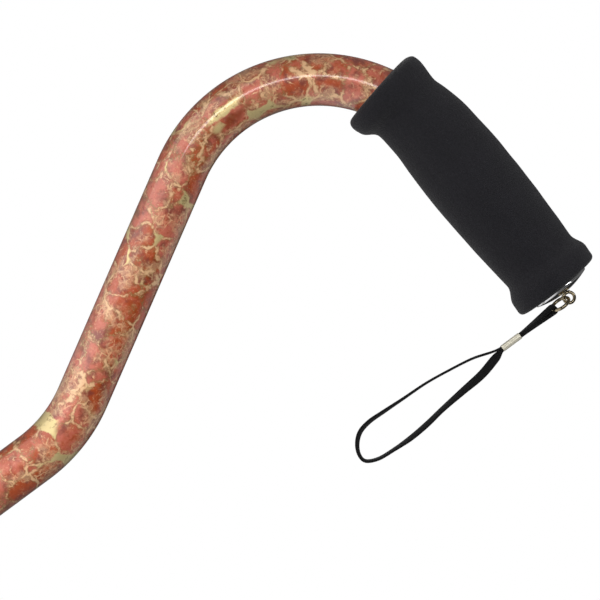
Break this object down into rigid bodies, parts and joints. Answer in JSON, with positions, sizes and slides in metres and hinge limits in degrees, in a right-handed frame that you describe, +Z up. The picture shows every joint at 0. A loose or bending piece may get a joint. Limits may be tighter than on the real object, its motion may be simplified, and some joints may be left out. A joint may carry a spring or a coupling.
{
  "type": "offset walking cane",
  "caption": "Height-adjustable offset walking cane with a foam hand grip, a wrist strap on a ring, a sprung height button, a locking collar and a rubber tip.",
  "frame": {"origin": "centre of the rubber tip's ground face", "axes": "+Z up along the shaft, +X the way the handle points, -X the bulge of the offset, -Y the side of the locking holes"},
  "size_m": [0.1699, 0.041, 0.8772],
  "materials": {
    "marbled_enamel": "gloss clear-coated enamel, terracotta marbled with gold veins",
    "black_foam": "matte closed-cell foam",
    "chrome": "polished",
    "steel": "satin",
    "bare_aluminium": "satin",
    "black_nylon": "satin",
    "black_rubber": "matte",
    "black_webbing": "matte",
    "pale_brass": "satin"
  },
  "bodies": {
    "handle": {"upper_tube": "marbled_enamel", "foam_grip": "black_foam", "end_cap": "chrome", "strap_eye": "chrome", "eye_nut": "steel", "collet_bush": "black_nylon"},
    "lower_leg": {"lower_tube": "bare_aluminium", "top_plug": "black_nylon", "button_spring": "steel", "rubber_tip": "black_rubber", "tip_washer": "steel"},
    "height_button": {"snap_button": "steel"},
    "collar": {"locking_collar": "black_nylon"},
    "ring": {"strap_ring": "chrome"},
    "strap": {"strap_neck": "black_webbing", "strap_ferrule": "pale_brass", "wrist_loop": "black_webbing"}
  },
  "joints": [
    {"name": "lower_leg_slide", "type": "slide", "parent": "handle", "child": "lower_leg", "axis": [0, 0, -1], "range_m": [-0.1143, 0.1143]},
    {"name": "snap_button_press", "type": "slide", "parent": "lower_leg", "child": "height_button", "axis": [0, 1, 0], "range_m": [0, 0.0042], "stiffness_N_per_m": 1500, "springref_m": -0.003, "deforming": ["button_spring"]},
    {"name": "collar_turn", "type": "hinge", "parent": "handle", "child": "collar", "pos_m": [0, 0, 0.2583], "axis": [0, 0, -1], "range_deg": [0, 360]},
    {"name": "ring_swing", "type": "hinge", "parent": "handle", "child": "ring", "pos_m": [0.08034, 0, 0.85784], "axis": [0.3746, -0.9272, 0], "range_deg": [-5, 105]},
    {"name": "strap_swing", "type": "hinge", "parent": "ring", "child": "strap", "pos_m": [0.08034, 0, 0.84984], "axis": [0.3746, -0.9272, 0], "range_deg": [-10, 105]}
  ]
}
